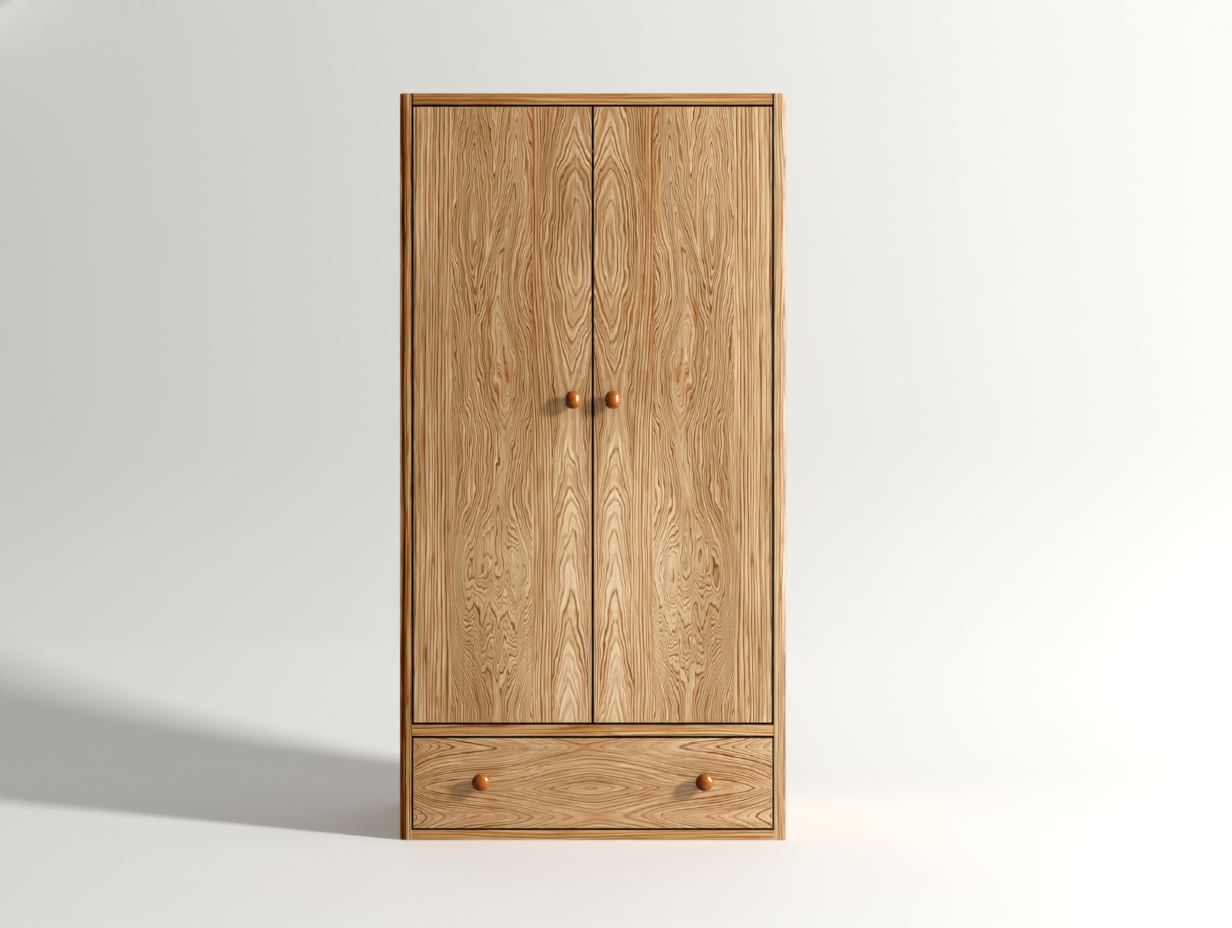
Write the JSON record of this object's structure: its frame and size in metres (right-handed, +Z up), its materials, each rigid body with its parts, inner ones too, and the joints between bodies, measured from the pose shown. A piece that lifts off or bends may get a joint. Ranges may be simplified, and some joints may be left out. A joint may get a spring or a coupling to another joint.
{
  "type": "armoire",
  "caption": "Free-standing oak armoire: flush doors on hidden knife hinges over a wide dovetailed drawer, with turned knobs and a clothes rail inside.",
  "frame": {"origin": "on the floor, under the centre of the whole piece's bounding box, knobs included", "axes": "+Z up, -Y out of the front towards the user, +X to the user's right"},
  "size_m": [1, 0.62, 1.93],
  "materials": {
    "oak_frame": "satin lacquered oak",
    "oak_doors": "satin lacquered oak with cathedral figure",
    "oak_drawer_front": "satin lacquered oak, grain across",
    "oak_interior": "sanded and waxed oak",
    "back_board": "oak-faced board",
    "beech": "bare beech",
    "knob_wood": "glossy varnish, red-brown",
    "hinge_brass": "dark burnished brass",
    "rail_steel": "polished",
    "screw_steel": "zinc plated",
    "catch_plastic": "brown moulded"
  },
  "bodies": {
    "carcass": {"left_side": "oak_frame", "right_side": "oak_frame", "top_board": "oak_frame", "middle_rail": "oak_frame", "bottom_rail": "oak_frame", "wardrobe_floor": "oak_interior", "left_floor_cleat": "oak_interior", "right_floor_cleat": "oak_interior", "rear_bottom_rail": "oak_interior", "base_panel": "back_board", "wall_fixing_rail": "oak_interior", "back_panel": "back_board", "clothes_rail": "rail_steel", "left_rail_socket": "rail_steel", "right_rail_socket": "rail_steel", "left_drawer_runner": "beech", "right_drawer_runner": "beech", "left_catch": "catch_plastic", "right_catch": "catch_plastic", "left_top_frame_leaf": "hinge_brass", "left_bottom_frame_leaf": "hinge_brass", "right_top_frame_leaf": "hinge_brass", "right_bottom_frame_leaf": "hinge_brass", "hinge_bushes": "hinge_brass", "carcass_dowels": "beech", "frame_leaf_screws": "hinge_brass", "rail_socket_screws": "screw_steel", "runner_screws": "screw_steel", "cleat_screws": "screw_steel", "back_panel_screws": "screw_steel", "catch_screws": "screw_steel"},
    "left_door": {"left_door": "oak_doors", "left_door_knob": "knob_wood", "left_door_knob_screw": "screw_steel", "left_top_door_leaf": "hinge_brass", "left_bottom_door_leaf": "hinge_brass", "left_door_leaf_screws": "hinge_brass", "left_strike_plate": "screw_steel", "left_strike_screws": "screw_steel"},
    "right_door": {"right_door": "oak_doors", "right_door_knob": "knob_wood", "right_door_knob_screw": "screw_steel", "right_top_door_leaf": "hinge_brass", "right_bottom_door_leaf": "hinge_brass", "right_door_leaf_screws": "hinge_brass", "right_strike_plate": "screw_steel", "right_strike_screws": "screw_steel"},
    "drawer": {"drawer_front": "oak_drawer_front", "left_drawer_side": "oak_interior", "right_drawer_side": "oak_interior", "drawer_back": "oak_interior", "drawer_bottom": "back_board", "left_drawer_knob": "knob_wood", "right_drawer_knob": "knob_wood", "drawer_knob_screws": "screw_steel", "drawer_bottom_screws": "screw_steel", "left_stop_block": "beech", "right_stop_block": "beech", "stop_block_screws": "screw_steel"}
  },
  "joints": [
    {"name": "left_door_hinge", "type": "hinge", "parent": "carcass", "child": "left_door", "pos_m": [-0.44796, -0.259, 1.0995], "axis": [0, 0, -1], "range_deg": [0, 110]},
    {"name": "right_door_hinge", "type": "hinge", "parent": "carcass", "child": "right_door", "pos_m": [0.44796, -0.259, 1.0995], "axis": [0, 0, 1], "range_deg": [0, 110]},
    {"name": "drawer_slide", "type": "slide", "parent": "carcass", "child": "drawer", "axis": [0, -1, 0], "range_m": [0, 0.399]}
  ]
}
